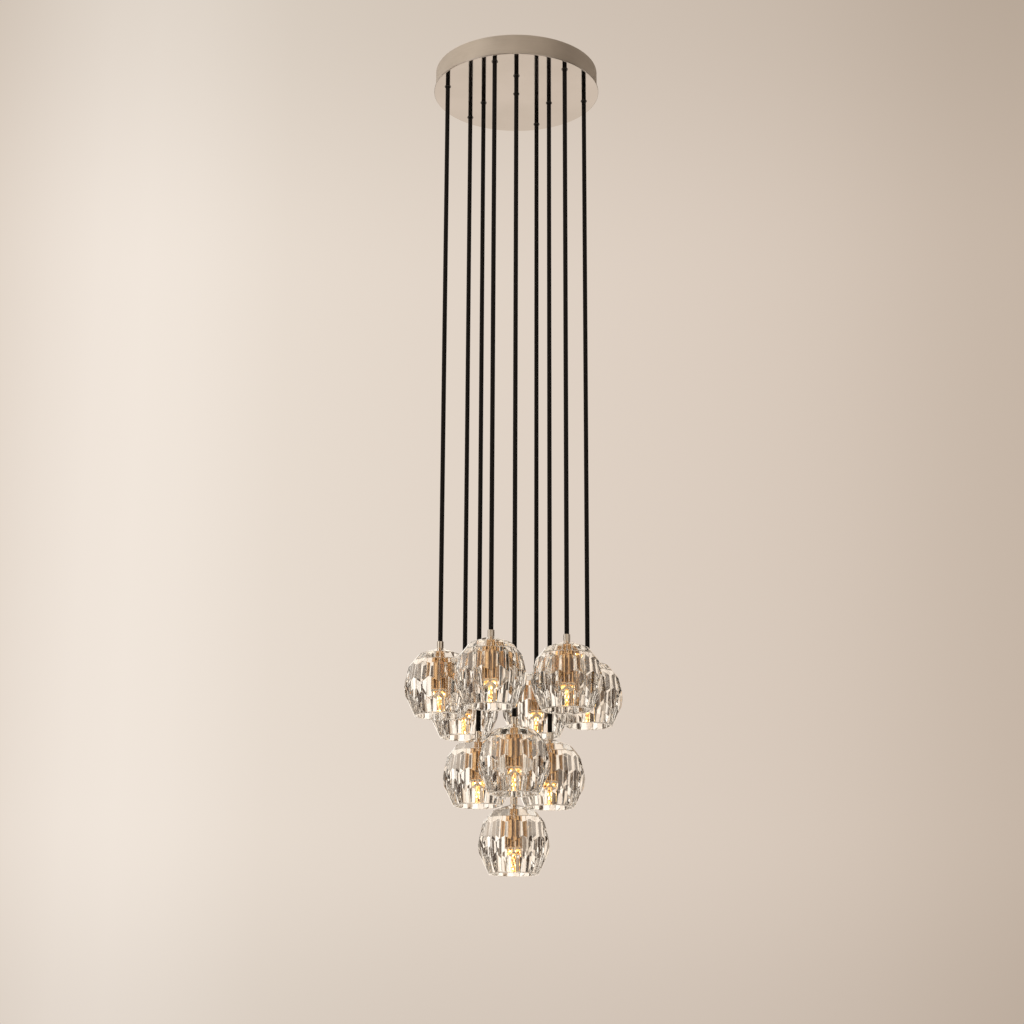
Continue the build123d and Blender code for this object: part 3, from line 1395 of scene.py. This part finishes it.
@dataclass(frozen=True)
class Pendants:
    """The pendants: each piece's pattern is made once, and a copy hangs under every cord."""

    globe: CrystalGlobe = CrystalGlobe()
    grip: CordGrip = CordGrip()
    cup: SocketCup = SocketCup()
    lamp: Lamp = Lamp()
    lamp_turn: float = 1.9

    def build(self, count: int, finishes: Finishes) -> None:
        """Make the patterns, then put a copy of each under every cord.

        Args:
            count: how many pendants hang.
            finishes: the finishes.
        """
        globe, cup, lamp, white = self.globe, self.cup, self.lamp, finishes.moulding
        kit = (
            ("crystal_globe", globe.make(), Slot.CRYSTAL, finishes.crystal, "globe", "pendant"),
            ("ferrule", self.grip.make(), Slot.POLISHED, finishes.ferrule, "cord_grip", "pendant"),
            ("cup", cup.make(), Slot.CHAMPAGNE, finishes.champagne, "socket_cup", "pendant"),
            ("ceramic_insert", cup.make_insert(), Slot.MOULDING, white, "", "pendant"),
            ("lamp_base", lamp.make_base(), Slot.MOULDING, white, "", "lamp"),
            ("lamp_cover", lamp.make_cover(), Slot.LAMP, finishes.bulb, "lamp", "lamp"),
            ("lamp_column", lamp.make_column(), Slot.LAMP, finishes.column, "", "lamp"),
            ("lamp_chips", lamp.make_chips(), Slot.LAMP, finishes.chip, "", "lamp"),
        )
        for number in range(1, count + 1):
            tag = f"{number:02d}"
            grip = middle_of(f"cord_grip_{tag}")
            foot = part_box(f"cord_grip_{tag}")[0][2]
            shift = Matrix.Translation((grip.x, grip.y, foot))
            lit_turn = Matrix.Rotation(number * self.lamp_turn, 4, "Z")
            for name, pattern, slot, material, node, body in kit:
                mesh = pattern.copy()
                lit = name in ("lamp_column", "lamp_chips")
                mesh.transform(shift @ lit_turn if lit else shift)
                placed(
                    mesh, f"{name}_{tag}", f"{body}_{tag}", material,
                    [f"{node}_{tag}"] if node else (),
                )
        for _, pattern, *_ in kit:
            bpy.data.meshes.remove(pattern)


# ---- The lamp ----

SWING_TOP, FIXED_TOP = -0.03895, -0.038
"""The upper end of a cord that swings, and of one that doesn't."""

OUTER_PLACES = (
    (0.126986, 0.02792, 1.109), (0.039314, 0.123933, 1.112), (-0.087672, 0.096013, 1.119),
    (-0.126986, -0.02792, 1.102), (-0.039314, -0.123933, 1.102), (0.087672, -0.096013, 1.103),
)
"""The place of each cord that swings, and its crystal's depth below the ceiling."""

INNER_PLACES = (
    (0.061538, 0.035529, 1.248), (-0.061538, 0.035529, 1.246), (0.0, -0.071058, 1.239),
    (0.0, 0.0, 1.364),
)
"""The same for the inner three and the centre cord, which hang between their neighbours."""

ROUTE_SHARES = (0.0, 0.03, 0.5, 0.97, 1.0)
"""Where a cord's route points lie along it."""


def cord_routes() -> list[Cord]:
    """Lay the ten cords' routes from the glands down to the grips.

    Returns:
        The cords.
    """
    cords = []
    for number, (x, y, depth) in enumerate((*OUTER_PLACES, *INNER_PLACES), start=1):
        swings = number <= len(OUTER_PLACES)
        top = SWING_TOP if swings else FIXED_TOP
        bottom = -depth + CordGrip.height
        route = tuple((x, y, top + share * (bottom - top)) for share in ROUTE_SHARES)
        cords.append(Cord(number, route, swings))
    return cords


def main() -> None:
    """Build the whole lamp in order."""
    logging.basicConfig(level=logging.INFO, format="%(name)s: %(message)s")
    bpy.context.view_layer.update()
    studio = Studio()
    studio.set_camera()
    finishes = Finishes()
    cords = cord_routes()
    for cord in cords:
        cord.hang(finishes)
    studio.light()
    studio.lay_floor()
    canopy = Canopy()
    canopy.build_wall(finishes)
    canopy.build_face(finishes)
    canopy.build_glands([(cord.route[0][0], cord.route[0][1]) for cord in cords], finishes)
    canopy.build_fixings(finishes)
    Pendants().build(len(cords), finishes)
    log.info("sizes written")


if __name__ == "__main__":
    main()
